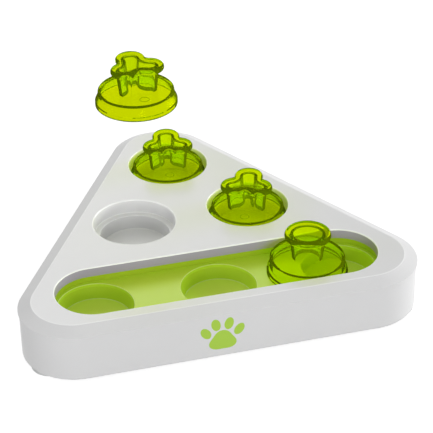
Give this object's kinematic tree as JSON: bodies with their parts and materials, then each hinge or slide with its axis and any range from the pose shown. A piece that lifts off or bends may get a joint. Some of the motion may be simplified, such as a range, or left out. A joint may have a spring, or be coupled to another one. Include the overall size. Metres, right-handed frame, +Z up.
{
  "type": "cat treat toy",
  "caption": "Triangular treat board for cats: lidded wells, knobbed lift-off caps and a sliding lid that runs in a track over treat cups.",
  "frame": {"origin": "on the ground, under the middle of the board's outline", "axes": "+X along the front edge to the right, +Y to the back corner, +Z up"},
  "size_m": [0.228, 0.2058, 0.1368],
  "materials": {
    "white_plastic": "gloss",
    "green_plastic": "satin",
    "clear_green_plastic": "transparent gloss",
    "foot_rubber": "matte",
    "screw_steel": "plain"
  },
  "bodies": {
    "board": {"top_cover": "white_plastic", "well_left": "white_plastic", "well_back": "white_plastic", "well_right": "white_plastic", "base_shell": "white_plastic", "track_frame": "green_plastic", "track_tray": "green_plastic", "track_cup_left": "green_plastic", "track_cup_middle": "green_plastic", "track_cup_right": "green_plastic", "foot_left": "foot_rubber", "foot_back": "foot_rubber", "foot_right": "foot_rubber", "cover_screws": "screw_steel", "tray_screws": "screw_steel"},
    "left_lid": {"lid_left": "clear_green_plastic"},
    "back_lid": {"lid_back": "clear_green_plastic"},
    "right_lid": {"lid_right": "clear_green_plastic"},
    "sliding_lid": {"track_lid": "clear_green_plastic"}
  },
  "joints": [
    {"name": "lid_left_lift", "type": "slide", "parent": "board", "child": "left_lid", "axis": [0.0528, 0, 0.9986], "range_m": [-0.08712, 0]},
    {"name": "lid_back_lift", "type": "slide", "parent": "board", "child": "back_lid", "axis": [0, 0, 1], "range_m": [0, 0.087]},
    {"name": "lid_right_lift", "type": "slide", "parent": "board", "child": "right_lid", "axis": [0, 0, 1], "range_m": [0, 0.087]},
    {"name": "track_lid_slide", "type": "slide", "parent": "board", "child": "sliding_lid", "axis": [1, 0, 0], "range_m": [-0.1223, 0.0185]}
  ]
}
